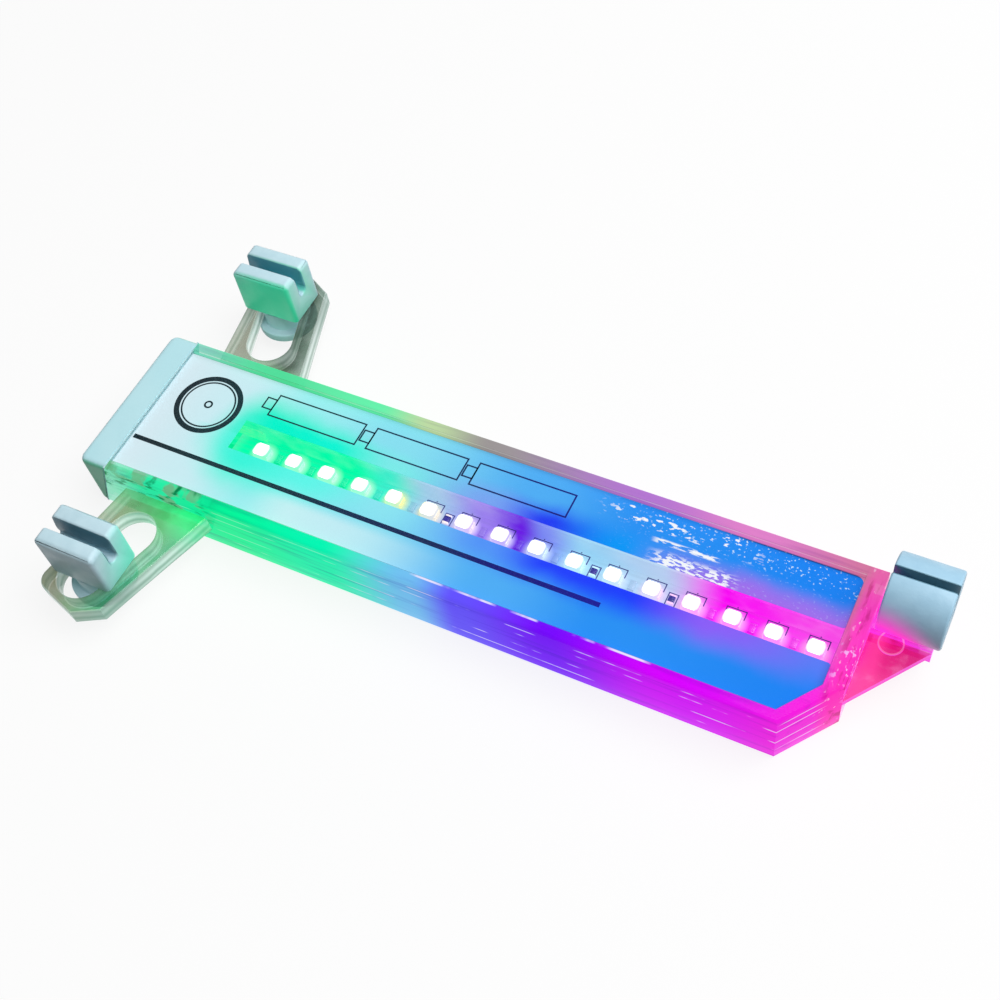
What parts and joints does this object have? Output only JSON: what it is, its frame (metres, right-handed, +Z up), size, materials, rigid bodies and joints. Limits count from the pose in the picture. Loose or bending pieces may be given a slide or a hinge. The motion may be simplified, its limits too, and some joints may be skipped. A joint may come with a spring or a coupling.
{
  "type": "spoke wheel light",
  "caption": "Flat clear bicycle spoke light: long housing with cells and a row of LEDs, pull-off end cap, forked spoke clips sliding in slotted ears and a slit barrel clip.",
  "frame": {"origin": "middle of the overall length and width, on the flat base", "axes": "+X along the housing from the cap to the far end, +Z up out of the labelled face"},
  "size_m": [0.165, 0.0908, 0.0233],
  "materials": {
    "clear_plastic": "clear, polished, tinted by the light inside",
    "mint_plastic": "satin, slightly see-through",
    "clip_plastic": "satin, milky pale blue",
    "seal_rubber": "soft, matt",
    "label_film": "printed film, satin",
    "board_laminate": "white solder mask",
    "led_lens": "clear lens over a lit die",
    "resistor_body": "matt with tinned ends",
    "chip_body": "matt moulded",
    "can_metal": "drawn can, satin",
    "sensor_lens": "tinted resin",
    "cell_wrap": "shrunk film over steel",
    "spring_steel": "bright wire",
    "contact_metal": "plated sheet"
  },
  "bodies": {
    "housing": {"upper_shell": "clear_plastic", "lower_shell": "clear_plastic", "top_label": "label_film", "bottom_label": "label_film", "circuit_board": "board_laminate", "top_leds": "led_lens", "bottom_leds": "led_lens", "resistors": "resistor_body", "controller_chip": "chip_body", "capacitor": "can_metal", "motion_switch": "can_metal", "light_sensor": "sensor_lens", "battery_rail": "clear_plastic", "battery_1": "cell_wrap", "battery_2": "cell_wrap", "battery_3": "cell_wrap", "battery_spring": "spring_steel", "negative_plate": "contact_metal", "positive_strip": "contact_metal"},
    "cap": {"end_cap": "mint_plastic", "cap_gasket": "seal_rubber", "cap_contact": "contact_metal"},
    "upper_foot": {"upper_clip_foot": "clip_plastic"},
    "upper_jaw": {"upper_clip_jaw": "clip_plastic"},
    "lower_foot": {"lower_clip_foot": "clip_plastic"},
    "lower_jaw": {"lower_clip_jaw": "clip_plastic"},
    "tip": {"tip_clip": "clip_plastic"}
  },
  "joints": [
    {"name": "cap_pull", "type": "slide", "parent": "housing", "child": "cap", "axis": [-1, 0, 0], "range_m": [0, 0.03]},
    {"name": "upper_clip_slide", "type": "slide", "parent": "housing", "child": "upper_foot", "axis": [0.2924, -0.9563, 0], "range_m": [-0.0008, 0.0116]},
    {"name": "upper_clip_swivel", "type": "hinge", "parent": "upper_foot", "child": "upper_jaw", "pos_m": [-0.06852, 0.03694, 0.009], "axis": [0, 0, 1], "range_deg": [-90, 90]},
    {"name": "lower_clip_slide", "type": "slide", "parent": "housing", "child": "lower_foot", "axis": [0.2924, 0.9563, 0], "range_m": [-0.0036, 0.0088]},
    {"name": "lower_clip_swivel", "type": "hinge", "parent": "lower_foot", "child": "lower_jaw", "pos_m": [-0.0677, -0.03426, 0.009], "axis": [0, 0, 1], "range_deg": [-90, 90]},
    {"name": "tip_clip_swivel", "type": "hinge", "parent": "housing", "child": "tip", "pos_m": [0.07698, 0.0122, 0.009], "axis": [0, 0, 1], "range_deg": [-6, 6]}
  ]
}
